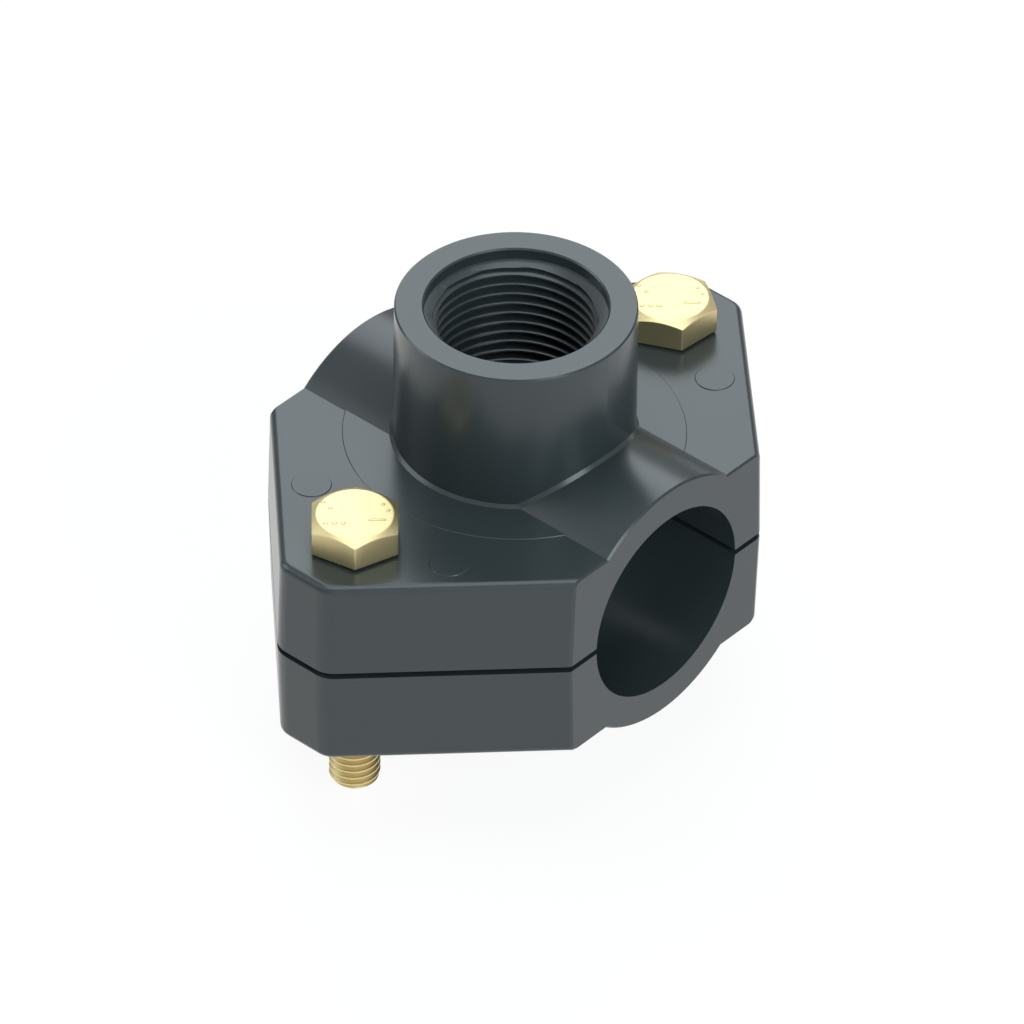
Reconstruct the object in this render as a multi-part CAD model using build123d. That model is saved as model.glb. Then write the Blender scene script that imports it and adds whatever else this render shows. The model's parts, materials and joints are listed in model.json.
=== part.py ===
from build123d import *
from math import radians, tan
import os

# Tapping saddle for a 32 mm pipe with a G 3/4 female outlet, in millimetres.
# The pipe runs along X and the outlet points up along Z.
# The origin is where the pipe's axis and the outlet's axis cross.
# The two bolts stand on the Y axis, the front one at -Y.

# Pipe bore and barrel
PIPE_DIAMETER = 32.0
BARREL_WALL = 5.4
SADDLE_LENGTH = 62.0
SEAM_GAP = 1.0
END_EDGE_BREAK = 0.3

# Bolt flange, its heights measured from the pipe's axis
UPPER_FLANGE_HEIGHT = 16.4
LOWER_FLANGE_HEIGHT = 16.8
FLANGE_WIDTH = 96.2
FLANGE_SIDE_SPAN = 74.7
FLANGE_DRAFT = 1.5
BOLT_STANDOFF = 14.6
PAD_CORNER_ROUND = 4.0
FLANGE_EDGE_ROUND = 1.2

# Outlet boss, counterbore and the bore at the major diameter of a G 3/4 thread
THREAD_MAJOR_DIAMETER = 26.44
THREAD_DEPTH = 18.2
LEDGE_DROP = 0.25
COUNTERBORE_STEP = 0.78
COUNTERBORE_DEPTH = 1.9
BOSS_WALL = 5.2
BOSS_DRAFT = 0.35
BOSS_FOOT_BEVEL = 0.5
RIM_EDGE_BREAK = 0.25

# Outlet port through the barrel, and the seal in its groove round the port
PORT_DIAMETER = 19.0
PORT_ROOF = 4.5
SEAL_LIP = 1.4
SEAL_WIDTH = 3.2
SEAL_THICKNESS = 2.2
SEAL_CLEARANCE = 0.1

# Marks that the mould leaves on the upper flange
MOULD_STEP_MARGIN = 7.7
MARK_HEIGHT = 0.12
PIN_MARK_RADIUS = 3.2
PIN_MARK_X = 14.0
PIN_MARK_FROM_BOLT = 5.6

# M8 bolts and nuts
BOLT_DIAMETER = 7.9
BOLT_LENGTH = 46.0
BOLT_TIP_CHAMFER = 0.65
HEX_ACROSS_FLATS = 13.0
HEAD_HEIGHT = 5.3
HEX_CHAMFER_SHARE = 0.92
HEX_CHAMFER_ANGLE = 30.0
WASHER_FACE_DIAMETER = 11.6
WASHER_FACE_HEIGHT = 0.4
FRONT_HEAD_TURN = 12.3
REAR_HEAD_TURN = 25.4
NUT_HEIGHT = 6.5
NUT_RUNNING_CLEARANCE = 0.05
BOLT_HOLE_CLEARANCE = 0.55
NUT_POCKET_CLEARANCE = 0.1
NUT_POCKET_RECESS = 0.6

# Sizes that follow from the ones above
bore_radius = PIPE_DIAMETER / 2
barrel_radius = bore_radius + BARREL_WALL
bolt_y = barrel_radius + BOLT_STANDOFF
bolt_radius = BOLT_DIAMETER / 2
bolt_hole_radius = bolt_radius + BOLT_HOLE_CLEARANCE
thread_radius = THREAD_MAJOR_DIAMETER / 2
outlet_floor_z = bore_radius + PORT_ROOF
thread_top_z = outlet_floor_z + THREAD_DEPTH
boss_top_z = thread_top_z + COUNTERBORE_DEPTH
boss_top_radius = thread_radius + BOSS_WALL
boss_foot_radius = boss_top_radius + boss_top_z * tan(radians(BOSS_DRAFT))
port_radius = PORT_DIAMETER / 2
seal_inner_radius = port_radius + SEAL_LIP
seal_outer_radius = seal_inner_radius + SEAL_WIDTH
nut_base_z = -LOWER_FLANGE_HEIGHT + NUT_POCKET_RECESS
nut_top_z = nut_base_z + NUT_HEIGHT
hex_radius = HEX_ACROSS_FLATS / 2
STANDING = (Align.CENTER, Align.CENTER, Align.MIN)
HANGING = (Align.CENTER, Align.CENTER, Align.MAX)


def flange_plan():
    """Plan of the flange at the seam: sides at 45 degrees that run in to a flat end past each bolt.

    It is longer than the saddle, so that the ends can be cut off square.
    """
    sides = Rectangle(FLANGE_SIDE_SPAN, FLANGE_SIDE_SPAN, rotation=45)
    plan = sides & Rectangle(FLANGE_WIDTH, FLANGE_WIDTH)
    across = plan.vertices().group_by(Axis.Y)
    return fillet(across[0] + across[-1], PAD_CORNER_ROUND)


def flange(height):
    """Flange plate from the pipe's axis up to height, its sides drawn in on the way."""
    plate = extrude(flange_plan(), height, taper=FLANGE_DRAFT)
    plate = fillet(plate.faces().sort_by(Axis.Z)[-1].outer_wire().edges(), FLANGE_EDGE_ROUND)
    plate &= Box(SADDLE_LENGTH, FLANGE_WIDTH, 2 * height)
    along = plate.faces().sort_by(Axis.X)
    rims = along[0].outer_wire().edges() + along[-1].outer_wire().edges()
    raised = rims.filter_by(lambda edge: edge.bounding_box().max.Z > SEAM_GAP)
    return chamfer(raised, END_EDGE_BREAK)


def pipe_cylinder(radius):
    """Round bar along the pipe's axis, longer than the saddle."""
    return Cylinder(radius, 2 * SADDLE_LENGTH, rotation=(0, 90, 0))


def barrel():
    """Upper half of the round barrel that wraps the pipe, the edges of its ends broken."""
    upper = Box(SADDLE_LENGTH, 4 * barrel_radius, 2 * barrel_radius, align=STANDING)
    half = pipe_cylinder(barrel_radius) & upper
    return chamfer(half.edges().filter_by(GeomType.CIRCLE), END_EDGE_BREAK)


def at_bolts(thing):
    """The same thing on the front and on the rear bolt's axis."""
    return [Pos(0, y, 0) * thing for y in (-bolt_y, bolt_y)]


def opened(half):
    """Take the pipe bore, half of the seam and the bolt holes out of one half of the saddle."""
    half -= pipe_cylinder(bore_radius)
    half -= Box(2 * SADDLE_LENGTH, 4 * bolt_y, SEAM_GAP)
    return half - at_bolts(Cylinder(bolt_hole_radius, 2 * (UPPER_FLANGE_HEIGHT + LOWER_FLANGE_HEIGHT)))


def boss():
    """Outlet boss: a drafted round tower, the edge of its rim broken."""
    tower = Cone(boss_foot_radius, boss_top_radius, boss_top_z, align=STANDING)
    return chamfer(tower.edges().filter_by(GeomType.CIRCLE).sort_by(Axis.Z)[-1], RIM_EDGE_BREAK)


def with_boss(body):
    """Stand the boss on body and bevel the corner all the way round its foot."""

    def in_foot(edge):
        span = edge.bounding_box()
        return span.min.Z > SEAM_GAP and span.max.Z < thread_top_z

    joined = body + boss()
    wall = joined.faces().filter_by(GeomType.CONE).sort_by(SortBy.AREA)[-1]
    return chamfer(wall.edges().filter_by(in_foot), BOSS_FOOT_BEVEL)


def outlet_hollow():
    """Everything bored down the outlet: counterbore, its sloping ledge, thread bore and port."""
    counterbore_radius = thread_radius + COUNTERBORE_STEP
    profile = Polyline(
        (0, 0),
        (port_radius, 0),
        (port_radius, outlet_floor_z),
        (thread_radius, outlet_floor_z),
        (thread_radius, thread_top_z - LEDGE_DROP),
        (counterbore_radius, thread_top_z),
        (counterbore_radius, boss_top_z - RIM_EDGE_BREAK),
        (counterbore_radius + 2 * RIM_EDGE_BREAK, boss_top_z + RIM_EDGE_BREAK),
        (0, boss_top_z + RIM_EDGE_BREAK),
        close=True,
    )
    return revolve(Plane.XZ * make_face(profile), Axis.Z)


def outlet_seal(clearance=0.0):
    """Saddle-shaped ring round the port: an upright tube kept only where it wraps the pipe."""
    tube = Circle(seal_outer_radius + clearance) - Circle(seal_inner_radius - clearance)
    wrap = pipe_cylinder(bore_radius + SEAL_THICKNESS + clearance) - pipe_cylinder(bore_radius)
    return extrude(tube, boss_top_z) & wrap


def upper_flange():
    """Upper flange with what its mould leaves: a low step round the boss and four pin marks."""
    step = Circle(boss_foot_radius + MOULD_STEP_MARGIN)
    pin_places = GridLocations(2 * PIN_MARK_X, 2 * (bolt_y - PIN_MARK_FROM_BOLT), 2, 2)
    pin_marks = [place * Circle(PIN_MARK_RADIUS) for place in pin_places]
    below = Pos(0, 0, UPPER_FLANGE_HEIGHT - MARK_HEIGHT)
    raised = [below * extrude(mark, 2 * MARK_HEIGHT, taper=45) for mark in (step, *pin_marks)]
    return flange(UPPER_FLANGE_HEIGHT) + raised


def upper_saddle():
    body = with_boss(upper_flange()) + with_boss(barrel())
    return opened(body) - outlet_hollow() - outlet_seal(SEAL_CLEARANCE)


def hexagon(clearance=0.0, turn=0.0):
    return RegularPolygon(hex_radius + clearance, 6, major_radius=False, rotation=turn)


def hex_block(height, turn=0.0):
    """Hexagon across the standard flats, its upper corners turned off at an angle."""
    top_radius = HEX_CHAMFER_SHARE * hex_radius
    cone_foot = top_radius + height / tan(radians(HEX_CHAMFER_ANGLE))
    cone = Cone(cone_foot, top_radius, height, align=STANDING)
    return extrude(hexagon(turn=turn), height) & cone


def lower_clamp():
    """Bottom half: the flange and barrel turned over, with a nut pocket under each bolt."""
    body = mirror(flange(LOWER_FLANGE_HEIGHT) + barrel(), Plane.XY)
    pocket = Pos(0, 0, nut_top_z) * extrude(hexagon(NUT_POCKET_CLEARANCE), -LOWER_FLANGE_HEIGHT)
    return opened(body) - at_bolts(pocket)


def bolt(y, head_turn):
    """Hex head bolt, seated on the upper flange by the round washer face under its head."""
    shank = Cylinder(bolt_radius, BOLT_LENGTH, align=HANGING)
    shank = chamfer(shank.edges().filter_by(GeomType.CIRCLE).sort_by(Axis.Z)[0], BOLT_TIP_CHAMFER)
    washer_face = Cylinder(WASHER_FACE_DIAMETER / 2, WASHER_FACE_HEIGHT, align=STANDING)
    head = Pos(0, 0, WASHER_FACE_HEIGHT) * hex_block(HEAD_HEIGHT - WASHER_FACE_HEIGHT, head_turn)
    return Pos(0, y, UPPER_FLANGE_HEIGHT) * (shank + washer_face + head)


def nut(y):
    """Hex nut, seated on the roof of its pocket in the lower half."""
    block = hex_block(NUT_HEIGHT)
    block &= Pos(0, 0, NUT_HEIGHT) * mirror(block, Plane.XY)
    bored = block - Cylinder(bolt_radius + NUT_RUNNING_CLEARANCE, 4 * NUT_HEIGHT)
    return Pos(0, y, nut_base_z) * bored


parts = {
    "upper_saddle": upper_saddle(),
    "outlet_seal": outlet_seal(),
    "lower_clamp": lower_clamp(),
    "front_bolt": bolt(-bolt_y, FRONT_HEAD_TURN),
    "rear_bolt": bolt(bolt_y, REAR_HEAD_TURN),
    "front_nut": nut(-bolt_y),
    "rear_nut": nut(bolt_y),
}

os.makedirs("parts", exist_ok=True)
for name, solid in parts.items():
    export_step(solid, f"parts/{name}.step")
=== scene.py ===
import bpy
import json
import math
from typing import NamedTuple

from bpy.props import FloatProperty, FloatVectorProperty, PointerProperty
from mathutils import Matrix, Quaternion, Vector


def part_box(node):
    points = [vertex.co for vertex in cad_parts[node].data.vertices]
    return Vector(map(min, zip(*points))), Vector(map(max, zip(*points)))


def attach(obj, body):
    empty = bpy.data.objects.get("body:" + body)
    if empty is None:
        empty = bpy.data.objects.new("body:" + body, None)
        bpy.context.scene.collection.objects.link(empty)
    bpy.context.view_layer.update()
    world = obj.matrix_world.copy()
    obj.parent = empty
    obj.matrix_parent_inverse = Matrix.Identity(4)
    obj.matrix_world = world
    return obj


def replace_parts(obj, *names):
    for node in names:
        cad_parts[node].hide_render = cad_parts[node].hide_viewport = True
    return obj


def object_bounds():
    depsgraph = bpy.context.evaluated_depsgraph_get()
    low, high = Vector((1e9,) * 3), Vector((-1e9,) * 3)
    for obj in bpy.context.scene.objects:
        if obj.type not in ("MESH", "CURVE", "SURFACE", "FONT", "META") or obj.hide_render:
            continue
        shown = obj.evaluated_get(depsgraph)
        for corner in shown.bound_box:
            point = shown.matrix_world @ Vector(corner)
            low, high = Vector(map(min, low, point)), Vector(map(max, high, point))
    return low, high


bl_info = {
    "name": "Tapping Saddle",
    "version": (1, 0, 0),
    "blender": (4, 5, 0),
    "location": "3D View > Sidebar > Saddle",
    "description": "Finishes, threads, bolts and stage of a clamp saddle for a pipe",
    "category": "Object",
}

# Lengths are in metres, in the frame of the solid model
MM = 0.001

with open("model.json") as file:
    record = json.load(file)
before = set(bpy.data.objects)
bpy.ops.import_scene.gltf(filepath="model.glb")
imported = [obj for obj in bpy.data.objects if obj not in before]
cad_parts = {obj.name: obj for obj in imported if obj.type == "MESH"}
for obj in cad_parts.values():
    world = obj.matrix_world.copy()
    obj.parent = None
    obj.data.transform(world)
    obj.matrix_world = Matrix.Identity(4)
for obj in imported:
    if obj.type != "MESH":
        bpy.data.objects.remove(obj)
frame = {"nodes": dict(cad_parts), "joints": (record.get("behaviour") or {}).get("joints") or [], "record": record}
solid_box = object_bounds()

# Places that the solid model gives
outlet = {mount["name"]: mount for mount in frame["record"]["mounts"]}["outlet_thread"]
outlet_radius = outlet["dims"]["r_mm"] * MM
outlet_bottom = outlet["pos_m"][2] - outlet["dims"]["length_mm"] * MM / 2
outlet_top = outlet["pos_m"][2] + outlet["dims"]["length_mm"] * MM / 2
bolt_seats = {j["child"]: Vector(j["pos_m"]) for j in frame["joints"] if j["type"] == "hinge"}
bolt_of_nut = {"front_nut": "front_bolt", "rear_nut": "rear_bolt"}
travel = next(j["range_m"][1] for j in frame["joints"] if j["type"] == "slide")

# The lowest that anything reaches: at the end of its travel the lower half is below the bolts' tips
lowest_reach = min(solid_box[0].z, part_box("lower_clamp")[0].z - travel)

# Fineness of the threads' meshes: points in a turn, and rows in a pitch
OUTLET_TURN_POINTS = 160
BOLT_TURN_POINTS = 72
INNER_ROWS = 12
OUTER_ROWS = 10

# Edges that turn by more than this are drawn sharp
SHARP_ANGLE = math.radians(35)

# How far a sleeve's groove is sunk in the wall that it lines, and how thick the sleeve is behind it
SLEEVE_SUNK = 0.05 * MM
SLEEVE_WALL = 0.45 * MM

# How far a surface stands off one that it would otherwise share
CLEAR = 0.02 * MM

# How far the outlet's sleeve goes into the floor of its bore, and a bolt's thread into its head
SLEEVE_INTO_FLOOR = 0.1 * MM
THREAD_INTO_HEAD = 0.5 * MM


def linear_colour(hex_value):
    """Linear red, green, blue and alpha of an sRGB colour written as #rrggbb."""
    channels = [int(hex_value[i : i + 2], 16) / 255 for i in (1, 3, 5)]
    linear = [c / 12.92 if c <= 0.04045 else ((c + 0.055) / 1.055) ** 2.4 for c in channels]
    return (*linear, 1.0)


def length(name, description, default):
    return FloatProperty(name=name, description=description, default=default, unit="LENGTH", precision=5)


def angle(name, description, degrees):
    return FloatProperty(name=name, description=description, default=math.radians(degrees), subtype="ANGLE")


def share(name, description, default):
    return FloatProperty(name=name, description=description, default=default, subtype="FACTOR", min=0, max=1)


def colour(name, description, hex_value):
    return FloatVectorProperty(
        name=name,
        description=description,
        default=linear_colour(hex_value),
        size=4,
        subtype="COLOR",
        min=0,
        max=1,
    )


class SaddleThreads(bpy.types.PropertyGroup):
    """Sizes of the G 3/4 outlet thread and of the M8 threads on the bolts and in the nuts."""

    outlet_pitch: length("Outlet pitch", "Pitch of a G 3/4 thread", 1.814 * MM)
    outlet_height: length("Outlet thread height", "Height of the ridges of a G 3/4 thread", 1.162 * MM)
    outlet_run_out: length("Outlet run-out", "Length over which the ridges fade at each end", 0.35 * MM)
    outlet_lead_in: length("Outlet lead-in", "How much wider the mouth is than the thread's crest", 0.6 * MM)
    ledge_width: length("Ledge width", "Width of the ledge at the mouth of the outlet", 0.78 * MM)
    ledge_drop: length("Ledge drop", "How far that ledge slopes down to the thread", 0.25 * MM)
    bolt_pitch: length("Bolt pitch", "Pitch of an M8 thread", 1.25 * MM)
    bolt_crest_radius: length("Bolt crest radius", "Radius at the crest of the bolt's thread", 3.95 * MM)
    bolt_root_radius: length("Bolt root radius", "Radius at the root of the bolt's thread", 3.233 * MM)
    nut_bore_radius: length("Nut bore radius", "Radius at the root of the nut's thread", 4.0 * MM)
    nut_crest_radius: length("Nut crest radius", "Radius at the crest of the nut's thread", 3.3235 * MM)
    nut_face_margin: length("Nut face margin", "From each face of the nut to its thread", 0.3 * MM)


class SaddleBolts(bpy.types.PropertyGroup):
    """Sizes of the bolts' heads."""

    across_flats: length("Across flats", "Spanner size of the heads", 13.0 * MM)
    corner_round: length("Corner round", "Rounding of the six upright corners", 0.3 * MM)
    edge_round: length("Edge round", "Rounding of the edges round the flats", 0.15 * MM)
    chamfer_angle: angle("Chamfer angle", "Slope of the turned chamfer at the top of the heads", 30.0)
    chamfer_share: share("Chamfer share", "Width of the flat top as a share of the spanner size", 0.92)
    washer_face_radius: length("Washer face radius", "Radius of the round face under the head", 5.8 * MM)
    washer_face_height: length("Washer face height", "Height of the round face under the head", 0.4 * MM)
    front_turn: angle("Front head turn", "Turn of the front bolt's head, as it was tightened", 12.3)
    rear_turn: angle("Rear head turn", "Turn of the rear bolt's head, as it was tightened", 25.4)
    mark_turn: angle("Mark turn", "Way that the marks on both heads point", 41.1)
    mark_height: length("Mark height", "Height of the raised marks on the heads", 0.12 * MM)


class SaddleFinishes(bpy.types.PropertyGroup):
    """Colours of the materials that this script makes. material_for says which of them are worn."""

    plastic: colour("Plastic", "Dark grey of the moulded halves", "#1F2729")
    rubber: colour("Rubber", "Black of the sealing ring", "#1C1C1C")
    rubber_bloom: colour("Rubber bloom", "Grey that the ring's rubber blooms to", "#2B2B2B")
    plating: colour("Plating", "Main colour of the yellow passivated zinc", "#B1A388")
    plating_tint: colour("Plating tint", "Colour of the plating where it is thicker", "#A98F72")
    floor: colour("Floor", "Pale floor under the saddle", "#F2F2F2")


class SaddleStage(bpy.types.PropertyGroup):
    """Camera that matches the photograph, the floor, and how bright the floor and the room are."""

    camera_azimuth: angle("Camera azimuth", "Angle of the camera round the saddle", 41.157)
    camera_elevation: angle("Camera elevation", "Angle of the camera above the horizon", 38.905)
    camera_roll: angle("Camera roll", "Turn of the camera about its own axis", 0.801)
    camera_distance: length("Camera distance", "From the camera to what it looks at", 1.5252)
    lens: FloatProperty(name="Lens", description="Focal length for a sensor 36 mm wide", default=350.28)
    floor_size: length("Floor size", "Length and width of the floor", 6.0)
    floor_glow: FloatProperty(
        name="Floor glow", description="Brightness of the lit floor, where 1 is white", default=1.07
    )
    floor_glow_share: share("Floor glow share", "Share of that glow in the floor that the camera sees", 0.86)
    room_glow_low: share("Low room glow", "Brightness in a gloss of the room near the floor", 0.35)
    room_glow_high: share("High room glow", "Brightness in a gloss of the room overhead", 0.65)
    room_light: share("Room light", "Brightness of the room for matt surfaces", 0.02)


def add_node(tree, kind, inputs=None, **settings):
    """Add a node, set its properties, and give its inputs values or other nodes' outputs."""
    node = tree.nodes.new(kind)
    for name, value in settings.items():
        setattr(node, name, value)
    for key, value in (inputs or {}).items():
        if isinstance(value, bpy.types.NodeSocket):
            tree.links.new(value, node.inputs[key])
        else:
            node.inputs[key].default_value = value
    return node


# Sockets of a Mix node that mixes colours: its share, its two colours and its result
MIX_SHARE, MIX_FIRST, MIX_SECOND = 0, 6, 7
MIX_RESULT = 2


def new_material(name):
    """Empty node material. Returns it, its node tree and its output node."""
    made = bpy.data.materials.new(name)
    made.use_nodes = True
    made.node_tree.nodes.clear()
    return made, made.node_tree, add_node(made.node_tree, "ShaderNodeOutputMaterial")


def moulded_pvc():
    """Unplasticised PVC, injection moulded in a polished tool: an even dark grey with a soft gloss.

    The flow of the melt leaves the skin very slightly uneven, so reflections waver and blur, and the
    edges of the moulding are a quarter of a millimetre soft. The real skin's grain is too fine to show,
    so it is drawn half a millimetre wide.
    """
    made, tree, output = new_material("moulded_pvc")
    looks = bpy.context.scene.saddle_finishes
    place = add_node(tree, "ShaderNodeTexCoord").outputs["Object"]
    flow = add_node(tree, "ShaderNodeTexNoise", {"Vector": place, "Scale": 1 / (9 * MM)})
    shrinkage = add_node(tree, "ShaderNodeTexNoise", {"Vector": place, "Scale": 1 / (5 * MM)})
    skin = add_node(tree, "ShaderNodeTexNoise", {"Vector": place, "Scale": 1 / (0.5 * MM)})
    soft_edge = add_node(tree, "ShaderNodeBevel", {"Radius": 0.25 * MM}, samples=6)
    waver = add_node(
        tree,
        "ShaderNodeBump",
        {
            "Height": shrinkage.outputs["Fac"],
            "Strength": 0.12,
            "Distance": 0.05 * MM,
            "Normal": soft_edge.outputs["Normal"],
        },
    )
    grain = add_node(
        tree,
        "ShaderNodeBump",
        {
            "Height": skin.outputs["Fac"],
            "Strength": 0.1,
            "Distance": 0.01 * MM,
            "Normal": waver.outputs["Normal"],
        },
    )
    gloss = add_node(
        tree,
        "ShaderNodeMapRange",
        {"Value": flow.outputs["Fac"], "From Min": 0.3, "From Max": 0.7, "To Min": 0.27, "To Max": 0.34},
    )
    shader = add_node(
        tree,
        "ShaderNodeBsdfPrincipled",
        {
            "Base Color": tuple(looks.plastic),
            "Roughness": gloss.outputs["Result"],
            "IOR": 1.53,
            "Normal": grain.outputs["Normal"],
        },
    )
    tree.links.new(shader.outputs["BSDF"], output.inputs["Surface"])
    return made


def epdm_rubber():
    """EPDM rubber, pressed and cured in a mould: matt black with a faint grey bloom."""
    made, tree, output = new_material("epdm_rubber")
    looks = bpy.context.scene.saddle_finishes
    place = add_node(tree, "ShaderNodeTexCoord").outputs["Object"]
    patches = add_node(tree, "ShaderNodeTexNoise", {"Vector": place, "Scale": 1 / (2 * MM)})
    bloom = add_node(
        tree,
        "ShaderNodeMapRange",
        {"Value": patches.outputs["Fac"], "From Min": 0.3, "From Max": 0.7, "To Min": 0.0, "To Max": 0.25},
    )
    black = add_node(
        tree,
        "ShaderNodeMix",
        {
            MIX_SHARE: bloom.outputs["Result"],
            MIX_FIRST: tuple(looks.rubber),
            MIX_SECOND: tuple(looks.rubber_bloom),
        },
        data_type="RGBA",
    )
    shader = add_node(
        tree,
        "ShaderNodeBsdfPrincipled",
        {"Base Color": black.outputs[MIX_RESULT], "Roughness": 0.62, "IOR": 1.52},
    )
    tree.links.new(shader.outputs["BSDF"], output.inputs["Surface"])
    return made


def yellow_zinc():
    """Steel, zinc plated and yellow passivated: a bright satin metal that drifts from straw to rose.

    The film is a chromate conversion coat, thicker in patches a few millimetres wide. The forging
    under it has shallow dents about a millimetre across. The plating's real grain is too fine to show,
    so it is drawn 0.4 millimetres wide.
    """
    made, tree, output = new_material("yellow_zinc_steel")
    looks = bpy.context.scene.saddle_finishes
    place = add_node(tree, "ShaderNodeTexCoord").outputs["Object"]
    patches = add_node(tree, "ShaderNodeTexNoise", {"Vector": place, "Scale": 1 / (3.5 * MM), "Detail": 3.0})
    satin = add_node(tree, "ShaderNodeTexNoise", {"Vector": place, "Scale": 1 / (0.4 * MM)})
    forging = add_node(tree, "ShaderNodeTexNoise", {"Vector": place, "Scale": 1 / (1.2 * MM)})
    thickness = add_node(
        tree,
        "ShaderNodeMapRange",
        {"Value": patches.outputs["Fac"], "From Min": 0.4, "From Max": 0.65, "To Min": 0.0, "To Max": 0.6},
    )
    film = add_node(
        tree,
        "ShaderNodeMix",
        {
            MIX_SHARE: thickness.outputs["Result"],
            MIX_FIRST: tuple(looks.plating),
            MIX_SECOND: tuple(looks.plating_tint),
        },
        data_type="RGBA",
    )
    gloss = add_node(
        tree,
        "ShaderNodeMapRange",
        {"Value": satin.outputs["Fac"], "From Min": 0.3, "From Max": 0.7, "To Min": 0.3, "To Max": 0.42},
    )
    dents = add_node(
        tree, "ShaderNodeBump", {"Height": forging.outputs["Fac"], "Strength": 0.15, "Distance": 0.05 * MM}
    )
    shader = add_node(
        tree,
        "ShaderNodeBsdfPrincipled",
        {
            "Base Color": film.outputs[MIX_RESULT],
            "Metallic": 1.0,
            "Roughness": gloss.outputs["Result"],
            "Normal": dents.outputs["Normal"],
        },
    )
    tree.links.new(shader.outputs["BSDF"], output.inputs["Surface"])
    return made


# The function that makes each material, named for the slots of the record
makers = {"moulded_pvc": moulded_pvc, "epdm_rubber": epdm_rubber, "yellow_zinc_steel": yellow_zinc}


def material_for(slot):
    """The material of a slot.

    The frame brings a plain material of each slot's name, and that is the one that the pieces wear. A
    maker runs only for a slot that the frame has no material for.
    """
    return bpy.data.materials.get(slot) or makers[slot]()


def dress(node, slot):
    """Give a solid of the frame its material."""
    slots = frame["nodes"][node].data.materials
    slots.clear()
    slots.append(material_for(slot))


def add_piece(name, shell, body, slot):
    """New mesh object that rides on a body, smooth apart from its sharp edges."""
    mesh = bpy.data.meshes.new(name)
    mesh.from_pydata(shell.points, [], shell.faces)
    mesh.validate()
    mesh.materials.append(material_for(slot))
    mesh.shade_smooth()
    mesh.set_sharp_from_angle(angle=SHARP_ANGLE)
    piece = bpy.data.objects.new(name, mesh)
    bpy.context.scene.collection.objects.link(piece)
    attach(piece, body)
    return piece


class Shell:
    """Points and faces of a mesh that is built up ring by ring."""

    def __init__(self):
        self.points = []
        self.faces = []

    def ring(self, points):
        """Add a closed ring of points and return their indices."""
        start = len(self.points)
        self.points += points
        return list(range(start, len(self.points)))

    def join(self, lower, upper):
        """Skin the band between two rings of as many points."""
        count = len(lower)
        for i in range(count):
            j = (i + 1) % count
            self.faces.append((lower[i], lower[j], upper[j], upper[i]))

    def stack(self, rings):
        """Skin a pile of rings and return the first and the last one."""
        added = [self.ring(ring) for ring in rings]
        for lower, upper in zip(added, added[1:]):
            self.join(lower, upper)
        return added[0], added[-1]

    def close(self, low, high):
        """Cover the open ends of a pile of rings."""
        self.faces.append(tuple(reversed(low)))
        self.faces.append(tuple(high))

    def turn_inside_out(self):
        self.faces = [tuple(reversed(face)) for face in self.faces]


def circle(centre, radius, height, count):
    """Ring of points round an upright axis."""
    turns = [2 * math.pi * i / count for i in range(count)]
    return [(centre.x + radius * math.cos(t), centre.y + radius * math.sin(t), height) for t in turns]


def ridge(phase):
    """Height of a thread's ridge, from 0 at the root to 1 at the crest, where phase is a share of a pitch.

    The root and the crest each take a sixth of the pitch. The flanks between them are halfway between
    straight and rounded.
    """
    flat = 1 / 6
    rise = 1 - abs(2 * (phase % 1.0) - 1)
    straight = min(max((rise - flat) / (1 - 2 * flat), 0.0), 1.0)
    rounded = straight * straight * (3 - 2 * straight)
    return (straight + rounded) / 2


def screw_skin(shell, centre, pitch, low, high, radius_at, around, per_pitch):
    """Skin of a right-hand thread between two heights. Returns its lowest and highest ring.

    Rows of points climb one pitch a turn, so the last column meets the first one a pitch higher up.
    Rows past an end are held on that end's ring, where radius_at has to give one radius all round.
    """
    first = math.floor(low / pitch * per_pitch) - per_pitch
    last = math.ceil(high / pitch * per_pitch) + 1
    bottom = shell.ring(circle(centre, radius_at(low, 0.0), low, around))
    top = shell.ring(circle(centre, radius_at(high, 0.0), high, around))
    columns = []
    for i in range(around):
        turn = i / around
        outward = Vector((math.cos(2 * math.pi * turn), math.sin(2 * math.pi * turn)))
        column = {}
        for row in range(first, last + 1):
            height = pitch * (row / per_pitch + turn)
            if height <= low:
                column[row] = bottom[i]
            elif height >= high:
                column[row] = top[i]
            else:
                place = centre.to_2d() + radius_at(height, row / per_pitch) * outward
                column[row] = len(shell.points)
                shell.points.append((place.x, place.y, height))
        columns.append(column)
    for i in range(around):
        left, right = columns[i], columns[(i + 1) % around]
        climb = per_pitch if i == around - 1 else 0
        for row in range(first, last):
            corners = [
                left[row],
                right.get(row + climb, top[(i + 1) % around]),
                right.get(row + 1 + climb, top[(i + 1) % around]),
                left[row + 1],
            ]
            distinct = list(dict.fromkeys(corners))
            if len(distinct) > 2:
                shell.faces.append(distinct)
    return bottom, top


class InnerThread(NamedTuple):
    """Sizes of an internal thread on an upright axis.

    The mouth at its high end is wider than the crest by lead_in, and rises to the wall by mouth_slope.
    """

    pitch: float
    low: float
    high: float
    bore_radius: float
    crest_radius: float
    run_out: float
    turn_points: int
    lead_in: float = 0.0
    mouth_slope: float = 0.0


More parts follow.
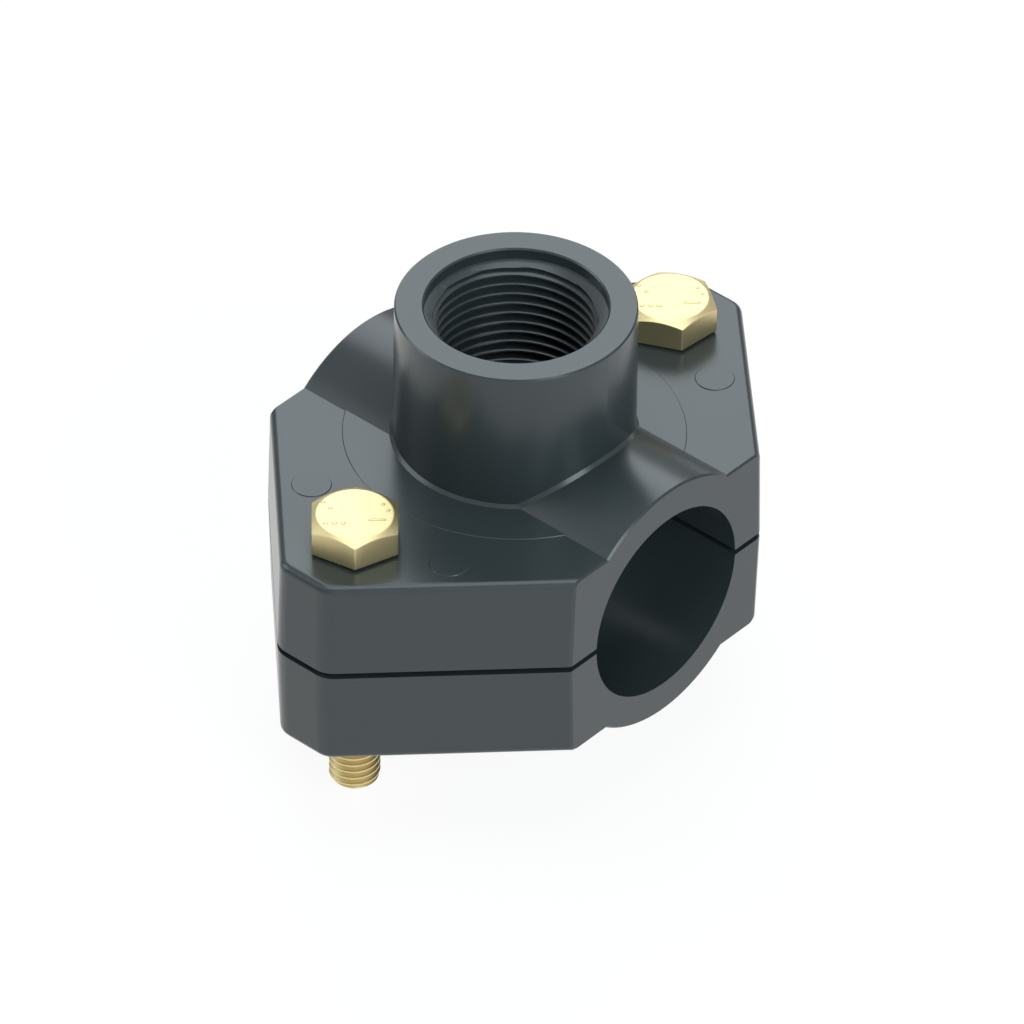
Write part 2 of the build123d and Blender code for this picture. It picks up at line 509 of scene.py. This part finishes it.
def threaded_sleeve(name, centre, thread, body, slot):
    """Thin sleeve sunk in the wall of a bore, with a thread inside whose groove runs out at both ends."""
    # A lead-in narrows by this much for each unit of depth
    lead_in_slope = 2
    root_radius = thread.bore_radius + SLEEVE_SUNK
    outer_radius = thread.bore_radius + SLEEVE_WALL
    mouth_radius = thread.crest_radius + thread.lead_in

    def radius_at(height, phase):
        below_mouth = thread.high - height
        groove = max(min(1.0, (height - thread.low) / thread.run_out, below_mouth / thread.run_out), 0.0)
        depth = (1 - ridge(phase + 0.5)) * groove
        cut = thread.crest_radius + (root_radius - thread.crest_radius) * depth
        return max(cut, mouth_radius - lead_in_slope * below_mouth)

    shell = Shell()
    bottom, top = screw_skin(
        shell, centre, thread.pitch, thread.low, thread.high, radius_at, thread.turn_points, INNER_ROWS
    )
    outer_top = thread.high + (outer_radius - mouth_radius) * thread.mouth_slope
    outer_low, outer_high = shell.stack(
        [circle(centre, outer_radius, height, thread.turn_points) for height in (thread.low, outer_top)]
    )
    shell.join(outer_low, bottom)
    shell.join(top, outer_high)
    shell.turn_inside_out()
    return add_piece(name, shell, body, slot)


def hexagon_ring(centre, half_width, corner_round, turn, height_at, shrink):
    """Ring round a hexagon with rounded corners, drawn in all round by shrink.

    height_at gives the height at a distance from the axis.
    """
    corner_steps, flat_steps = 4, 8
    reach = (half_width - corner_round) / math.cos(math.pi / 6)
    radius = corner_round - shrink
    outline = []
    for corner in range(6):
        towards = turn + corner * math.pi / 3
        arc_centre = Vector((reach * math.cos(towards), reach * math.sin(towards)))
        for step in range(corner_steps + 1):
            t = towards + math.pi / 6 * (2 * step / corner_steps - 1)
            outline.append(arc_centre + radius * Vector((math.cos(t), math.sin(t))))
        flat_start = outline[-1]
        next_towards = towards + math.pi / 3
        next_centre = Vector((reach * math.cos(next_towards), reach * math.sin(next_towards)))
        t = next_towards - math.pi / 6
        flat_end = next_centre + radius * Vector((math.cos(t), math.sin(t)))
        for step in range(1, flat_steps):
            outline.append(flat_start.lerp(flat_end, step / flat_steps))
    return [(centre.x + p.x, centre.y + p.y, height_at(p.length)) for p in outline]


def bolt_head(shell, seat, top, turn):
    """Hex head on a round washer face: flats with rounded edges, a turned chamfer and a flat top."""
    sizes = bpy.context.scene.saddle_bolts
    half_width = sizes.across_flats / 2
    top_radius = sizes.chamfer_share * half_width
    flats_foot = seat.z + sizes.washer_face_height
    slope = math.tan(sizes.chamfer_angle)
    soft = sizes.edge_round

    def flats_top(radius):
        return top - max(radius - top_radius, 0.0) * slope

    def outline(height_at, shrink=0.0):
        return hexagon_ring(seat, half_width, sizes.corner_round, turn, height_at, shrink)

    # The rounded edges are three rings each, and one more ring keeps the flats between them flat
    flats = [
        outline(lambda r: flats_foot, soft),
        outline(lambda r: flats_foot + 0.3 * soft, 0.3 * soft),
        outline(lambda r: flats_foot + soft),
        outline(lambda r: flats_foot + 1.5 * soft),
        outline(lambda r: flats_top(r) - 1.5 * soft),
        outline(lambda r: flats_top(r) - soft),
        outline(lambda r: flats_top(r) - 0.3 * soft, 0.3 * soft),
    ]
    outward = [Vector((x - seat.x, y - seat.y)).normalized() for x, y, _ in flats[0]]

    def round_ring(radius, height):
        return [(seat.x + radius * way.x, seat.y + radius * way.y, height) for way in outward]

    washer_face = [round_ring(sizes.washer_face_radius, height) for height in (seat.z, flats_foot)]
    # How far in from the chamfer's inner edge each ring of the top is, and how far down, in edge rounds
    rounding = ((-1.0, 0.85), (0.0, 0.3), (0.6, 0.08), (1.4, 0.0), (3.0, 0.0))
    flat_top = [round_ring(top_radius - inset * soft, top - drop * soft) for inset, drop in rounding]
    shell.close(*shell.stack(washer_face + flats + flat_top))


def head_marks(shell, seat, top):
    """Plain raised marks on the head: a bar at one side, a row of three short ones and four pips."""
    sizes = bpy.context.scene.saddle_bolts
    # In millimetres: each mark's place along and across the way that all point, half length, half width
    bar = [(3.35, -1.35, 1.35, 0.24)]
    short_bars = [(ahead, -2.3, 0.42, 0.28) for ahead in (-4.35, -3.0, -1.75)]
    pips = [(4.15, 2.3, 0.3, 0.3), (4.95, 0.85, 0.3, 0.3), (-4.85, 2.75, 0.34, 0.3), (-3.7, 1.3, 0.34, 0.3)]
    along = Vector((math.cos(sizes.mark_turn), math.sin(sizes.mark_turn)))
    across = Vector((-along.y, along.x))
    points = 12
    sunk = 0.05 * MM
    # Heights of the mark's three rings, and how wide each one is as a share of the mark's width
    rings = ((top - sunk, 1.0), (top + 0.5 * sizes.mark_height, 1.0), (top + sizes.mark_height, 0.6))
    for ahead, aside, half_length, half_width in bar + short_bars + pips:
        middle = seat.to_2d() + ahead * MM * along + aside * MM * across
        straight = max(half_length - half_width, 0.0) * MM
        outlines = []
        for height, spread in rings:
            radius = half_width * spread * MM
            outline = []
            for step in range(points):
                t = 2 * math.pi * step / points
                end = straight if math.cos(t) > 0 else -straight
                p = middle + (end + radius * math.cos(t)) * along + radius * math.sin(t) * across
                outline.append((p.x, p.y, height))
            outlines.append(outline)
        shell.close(*shell.stack(outlines))


def make_bolt(node, turn):
    """M8 hex bolt, threaded along its shank. It stands for the plain solid bolt."""
    threads = bpy.context.scene.saddle_threads
    seat = bolt_seats[node]
    lowest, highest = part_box(node)
    root_radius = threads.bolt_root_radius
    ridge_height = threads.bolt_crest_radius - root_radius
    run_out = 1.5 * threads.bolt_pitch
    inside_head = seat.z + THREAD_INTO_HEAD

    # The ridge rises at 45 degrees from the bolt's chamfered tip, and fades out under the head
    def radius_at(height, phase):
        from_tip = height - lowest.z
        fade = min(1.0, max(0.0, (inside_head - height) / run_out))
        return root_radius + min(ridge_height * ridge(phase), from_tip) * fade

    shell = Shell()
    shell.close(
        *screw_skin(
            shell,
            seat,
            threads.bolt_pitch,
            lowest.z,
            inside_head,
            radius_at,
            BOLT_TURN_POINTS,
            OUTER_ROWS,
        )
    )
    bolt_head(shell, seat, highest.z, turn)
    head_marks(shell, seat, highest.z)
    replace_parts(add_piece(f"{node}_threaded", shell, node, "yellow_zinc_steel"), node)


class SADDLE_OT_dress_halves(bpy.types.Operator):
    """Give the two moulded halves of the saddle their plastic"""

    bl_idname = "saddle.dress_halves"
    bl_label = "Dress the halves"

    def execute(self, context):
        for node in ("upper_saddle", "lower_clamp"):
            dress(node, "moulded_pvc")
        return {"FINISHED"}


class SADDLE_OT_dress_seal(bpy.types.Operator):
    """Give the sealing ring its rubber"""

    bl_idname = "saddle.dress_seal"
    bl_label = "Dress the seal"

    def execute(self, context):
        dress("outlet_seal", "epdm_rubber")
        return {"FINISHED"}


class SADDLE_OT_cut_outlet_thread(bpy.types.Operator):
    """Make the G 3/4 thread inside the outlet"""

    bl_idname = "saddle.cut_outlet_thread"
    bl_label = "Cut the outlet thread"

    def execute(self, context):
        threads = context.scene.saddle_threads
        slope = threads.ledge_drop / threads.ledge_width
        into_bore = threads.outlet_height - threads.outlet_lead_in
        ledge_at_mouth = outlet_top - threads.ledge_drop - into_bore * slope
        thread = InnerThread(
            pitch=threads.outlet_pitch,
            low=outlet_bottom - SLEEVE_INTO_FLOOR,
            high=ledge_at_mouth + CLEAR,
            bore_radius=outlet_radius,
            crest_radius=outlet_radius - threads.outlet_height,
            run_out=threads.outlet_run_out,
            turn_points=OUTLET_TURN_POINTS,
            lead_in=threads.outlet_lead_in,
            mouth_slope=slope,
        )
        threaded_sleeve("outlet_thread", Vector((0, 0, 0)), thread, "saddle", "moulded_pvc")
        return {"FINISHED"}


class SADDLE_OT_make_bolts(bpy.types.Operator):
    """Make both bolts, with their heads' marks and their threads"""

    bl_idname = "saddle.make_bolts"
    bl_label = "Make the bolts"

    def execute(self, context):
        sizes = context.scene.saddle_bolts
        make_bolt("front_bolt", sizes.front_turn)
        make_bolt("rear_bolt", sizes.rear_turn)
        return {"FINISHED"}


class SADDLE_OT_finish_nuts(bpy.types.Operator):
    """Plate both nuts and thread them"""

    bl_idname = "saddle.finish_nuts"
    bl_label = "Finish the nuts"

    def execute(self, context):
        threads = context.scene.saddle_threads
        for node, bolt in bolt_of_nut.items():
            dress(node, "yellow_zinc_steel")
            lowest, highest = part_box(node)
            thread = InnerThread(
                pitch=threads.bolt_pitch,
                low=lowest.z + threads.nut_face_margin,
                high=highest.z - threads.nut_face_margin,
                bore_radius=threads.nut_bore_radius,
                crest_radius=threads.nut_crest_radius,
                run_out=0.5 * threads.bolt_pitch,
                turn_points=BOLT_TURN_POINTS,
            )
            threaded_sleeve(f"{node}_thread", bolt_seats[bolt], thread, "clamp", "yellow_zinc_steel")
        return {"FINISHED"}


# Soft boxes: name, place, width and height, power in watts, and tint
soft_boxes = (
    ("back_box", (-0.75, 0.85, 0.95), (1.0, 0.8), 6.5, "#F0FAFF"),
    ("overhead_box", (0.0, 0.0, 1.2), (0.9, 0.9), 5.8, "#F0FAFF"),
    ("left_box", (-1.0, -0.6, 0.6), (0.6, 0.8), 3.4, "#F0FAFF"),
    ("right_box", (1.1, -0.3, 0.7), (0.6, 0.8), 7.8, "#E9FAFF"),
    # It lights the rounded edge of the flange that faces the camera
    ("front_strip", (0.95, -0.86, 0.3), (1.0, 0.16), 1.0, "#F0FAFF"),
)
lit_place = Vector((0, 0, 0.01))

# What the camera looks at, its sensor's width in millimetres, and the nearest and farthest that it sees
camera_target = Vector((-0.197, -0.1, 0.532)) * MM
SENSOR_WIDTH = 36.0
camera_reach = (0.1, 20.0)


def hang_soft_box(name, place, size, power, tint):
    """Rectangular area light, turned towards the saddle."""
    light = bpy.data.lights.new(name, "AREA")
    light.shape = "RECTANGLE"
    light.size, light.size_y = size
    light.energy = power
    light.color = linear_colour(tint)[:3]
    lamp = bpy.data.objects.new(name, light)
    bpy.context.scene.collection.objects.link(lamp)
    lamp.location = place
    lamp.rotation_mode = "QUATERNION"
    lamp.rotation_quaternion = (lit_place - Vector(place)).to_track_quat("-Z", "Y")


def floor_paper():
    """Pale seamless paper, lit so brightly that it comes out white and lights the gloss of the sides.

    The camera sees a little of the paper itself too, which holds the saddle's faint shadow.
    """
    made, tree, output = new_material("floor_paper")
    stage = bpy.context.scene.saddle_stage
    path = add_node(tree, "ShaderNodeLightPath")
    paper = add_node(
        tree, "ShaderNodeBsdfDiffuse", {"Color": tuple(bpy.context.scene.saddle_finishes.floor)}
    )
    glow = add_node(tree, "ShaderNodeEmission", {"Color": (1, 1, 1, 1), "Strength": stage.floor_glow})
    seen = add_node(
        tree,
        "ShaderNodeMath",
        {0: path.outputs["Is Camera Ray"], 1: stage.floor_glow_share},
        operation="MULTIPLY",
    )
    glowing = add_node(
        tree,
        "ShaderNodeMath",
        {0: seen.outputs["Value"], 1: path.outputs["Is Glossy Ray"]},
        operation="MAXIMUM",
    )
    lit = add_node(
        tree,
        "ShaderNodeMixShader",
        {0: glowing.outputs["Value"], 1: paper.outputs["BSDF"], 2: glow.outputs["Emission"]},
    )
    tree.links.new(lit.outputs["Shader"], output.inputs["Surface"])
    return made


def dim_room():
    """World that is white to the camera, and in a gloss is a dim room, a little lighter overhead.

    Matt surfaces take almost nothing from it, so that the soft boxes shape them.
    """
    stage = bpy.context.scene.saddle_stage
    world = bpy.data.worlds.new("dim_room")
    bpy.context.scene.world = world
    world.use_nodes = True
    tree = world.node_tree
    tree.nodes.clear()
    path = add_node(tree, "ShaderNodeLightPath")
    direction = add_node(tree, "ShaderNodeTexCoord").outputs["Generated"]
    # The sine of the direction's angle above the horizon
    height = add_node(tree, "ShaderNodeSeparateXYZ", {"Vector": direction}).outputs["Z"]
    room = add_node(
        tree,
        "ShaderNodeMapRange",
        {
            "Value": height,
            "From Min": 0.1,
            "From Max": 0.6,
            "To Min": stage.room_glow_low,
            "To Max": stage.room_glow_high,
        },
    )
    lighting = add_node(
        tree,
        "ShaderNodeMapRange",
        {
            "Value": path.outputs["Is Glossy Ray"],
            "To Min": stage.room_light,
            "To Max": room.outputs["Result"],
        },
    )
    strength = add_node(
        tree,
        "ShaderNodeMapRange",
        {"Value": path.outputs["Is Camera Ray"], "To Min": lighting.outputs["Result"], "To Max": 1.0},
    )
    white = add_node(
        tree, "ShaderNodeBackground", {"Color": (1, 1, 1, 1), "Strength": strength.outputs["Result"]}
    )
    add_node(tree, "ShaderNodeOutputWorld", {"Surface": white.outputs["Background"]})


def lay_floor(height):
    """Square of paper under the saddle, at a height that is clear of it in every pose."""
    half = bpy.context.scene.saddle_stage.floor_size / 2
    mesh = bpy.data.meshes.new("floor")
    corners = [(-half, -half), (half, -half), (half, half), (-half, half)]
    mesh.from_pydata([(x, y, height) for x, y in corners], [], [(0, 1, 2, 3)])
    mesh.materials.append(floor_paper())
    floor = bpy.data.objects.new("floor", mesh)
    bpy.context.scene.collection.objects.link(floor)


def place_camera():
    """Camera at the photograph's angle."""
    stage = bpy.context.scene.saddle_stage
    away = math.cos(stage.camera_elevation)
    back = Vector(
        (
            math.sin(stage.camera_azimuth) * away,
            -math.cos(stage.camera_azimuth) * away,
            math.sin(stage.camera_elevation),
        )
    )
    camera = bpy.data.objects.new("camera", bpy.data.cameras.new("camera"))
    bpy.context.scene.collection.objects.link(camera)
    camera.data.lens = stage.lens
    camera.data.sensor_width = SENSOR_WIDTH
    camera.data.clip_start, camera.data.clip_end = camera_reach
    camera.location = camera_target + back * stage.camera_distance
    camera.rotation_mode = "QUATERNION"
    roll = Quaternion((0, 0, 1), stage.camera_roll)
    camera.rotation_quaternion = (-back).to_track_quat("-Z", "Y") @ roll
    bpy.context.scene.camera = camera


class SADDLE_OT_set_stage(bpy.types.Operator):
    """Lay the floor, hang the lights and place the camera"""

    bl_idname = "saddle.set_stage"
    bl_label = "Set the stage"

    def execute(self, context):
        lay_floor(lowest_reach - CLEAR)
        place_camera()
        for box in soft_boxes:
            hang_soft_box(*box)
        dim_room()
        context.scene.view_settings.view_transform = "Standard"
        return {"FINISHED"}


class SADDLE_PT_panel(bpy.types.Panel):
    """Lists the steps and sizes of the tapping saddle"""

    bl_idname = "SADDLE_PT_panel"
    bl_label = "Tapping Saddle"
    bl_space_type = "VIEW_3D"
    bl_region_type = "UI"
    bl_category = "Saddle"

    def draw(self, context):
        for step in steps:
            self.layout.operator(step.bl_idname)
        for name in groups:
            settings = getattr(context.scene, name)
            box = self.layout.box()
            for key in settings.__annotations__:
                box.prop(settings, key)


steps = (
    SADDLE_OT_dress_halves,
    SADDLE_OT_dress_seal,
    SADDLE_OT_cut_outlet_thread,
    SADDLE_OT_make_bolts,
    SADDLE_OT_finish_nuts,
    SADDLE_OT_set_stage,
)
groups = {
    "saddle_threads": SaddleThreads,
    "saddle_bolts": SaddleBolts,
    "saddle_finishes": SaddleFinishes,
    "saddle_stage": SaddleStage,
}


def register():
    for item in (*groups.values(), *steps, SADDLE_PT_panel):
        bpy.utils.register_class(item)
    for name, group in groups.items():
        setattr(bpy.types.Scene, name, PointerProperty(type=group))


def unregister():
    for name in groups:
        delattr(bpy.types.Scene, name)
    for item in (SADDLE_PT_panel, *reversed(steps), *groups.values()):
        bpy.utils.unregister_class(item)


def main():
    register()
    bpy.ops.saddle.dress_halves()
    bpy.ops.saddle.dress_seal()
    bpy.ops.saddle.cut_outlet_thread()
    bpy.ops.saddle.make_bolts()
    bpy.ops.saddle.finish_nuts()
    bpy.ops.saddle.set_stage()


if __name__ == "__main__":
    main()
